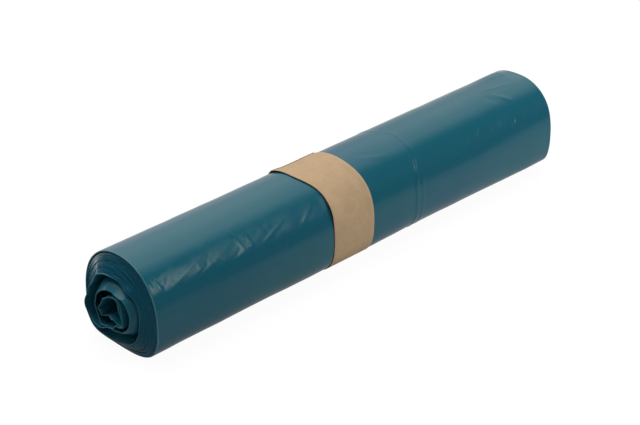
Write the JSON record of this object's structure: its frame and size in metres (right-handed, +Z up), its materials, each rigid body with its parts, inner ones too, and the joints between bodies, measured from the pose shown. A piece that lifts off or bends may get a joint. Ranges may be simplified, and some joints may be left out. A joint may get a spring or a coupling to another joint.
{
  "type": "bin bag roll",
  "caption": "Coreless roll of folded film bin bags, held shut by a glued band of brown kraft paper, lying on its flattened side.",
  "frame": {"origin": "On the floor, under the middle of the lying roll", "axes": "+X along the roll, away from the end whose inner turns are pushed out; +Y towards the back, where the web ends and the band is glued; +Z up"},
  "size_m": [0.358, 0.0658, 0.0639],
  "materials": {
    "film": "gloss",
    "kraft_paper": "matte"
  },
  "bodies": {
    "root": {"bag_roll": "film", "paper_band": "kraft_paper"}
  },
  "joints": []
}
